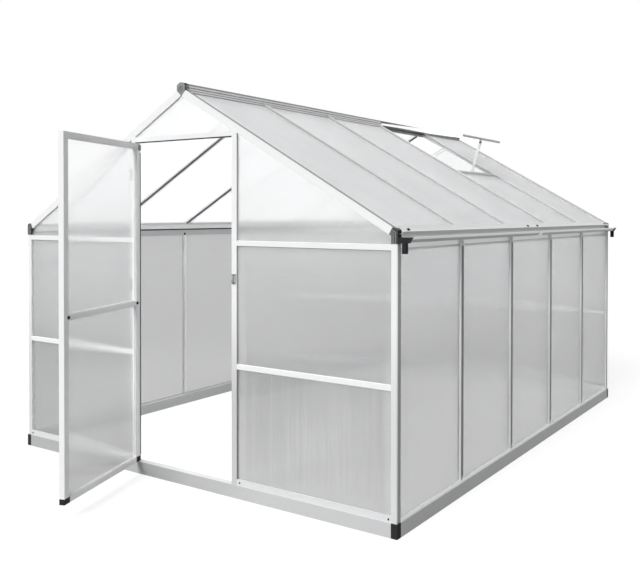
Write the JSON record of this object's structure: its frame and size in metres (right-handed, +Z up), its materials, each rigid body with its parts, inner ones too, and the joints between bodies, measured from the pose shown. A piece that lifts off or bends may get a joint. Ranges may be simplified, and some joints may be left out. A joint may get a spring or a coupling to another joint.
{
  "type": "walk-in greenhouse",
  "caption": "Aluminium walk-in greenhouse with twin-wall glazing, gabled roof, gutters, a propped roof vent and a hinged door standing open.",
  "frame": {"origin": "ground level under the middle of the doorway, on the front wall's plane", "axes": "+Z up, +Y from the front wall to the rear wall, +X to the right seen from the front"},
  "size_m": [2.6177, 3.6479, 1.9975],
  "materials": {
    "frame_aluminium": "satin",
    "grey_aluminium": "satin",
    "base_aluminium": "satin",
    "glazing": "satin",
    "black_plastic": "matte"
  },
  "bodies": {
    "house": {"base_front": "base_aluminium", "base_rear": "base_aluminium", "base_left": "base_aluminium", "base_right": "base_aluminium", "corner_feet": "black_plastic", "corner_posts": "frame_aluminium", "front_sills": "frame_aluminium", "rear_sill": "frame_aluminium", "left_sill": "frame_aluminium", "right_sill": "frame_aluminium", "left_wall_bars": "frame_aluminium", "right_wall_bars": "frame_aluminium", "left_gutter": "frame_aluminium", "right_gutter": "frame_aluminium", "corner_caps": "black_plastic", "gutter_spouts": "black_plastic", "front_rafters": "frame_aluminium", "rear_rafters": "frame_aluminium", "left_roof_bars": "frame_aluminium", "right_roof_bars": "frame_aluminium", "ridge_beam": "grey_aluminium", "ridge_end_caps": "grey_aluminium", "door_posts": "frame_aluminium", "door_header": "frame_aluminium", "front_rails": "frame_aluminium", "rear_studs": "frame_aluminium", "rear_rails": "frame_aluminium", "front_panels": "glazing", "rear_panels": "glazing", "left_wall_panels": "glazing", "right_wall_panels": "glazing", "left_roof_panels": "glazing", "right_roof_panels": "glazing", "vent_sill": "frame_aluminium", "vent_sash": "frame_aluminium", "vent_pane": "glazing", "vent_stay": "frame_aluminium", "hinge_brackets": "grey_aluminium", "door_catch": "grey_aluminium"},
    "door": {"door_frame": "frame_aluminium", "door_panes": "glazing", "door_caps": "black_plastic", "door_hinges": "grey_aluminium", "door_handle": "grey_aluminium"}
  },
  "joints": [
    {"name": "door_hinge", "type": "hinge", "parent": "house", "child": "door", "pos_m": [-0.331, -0.007, 0.8885], "axis": [0, 0, -1], "range_deg": [-70, 80]}
  ]
}
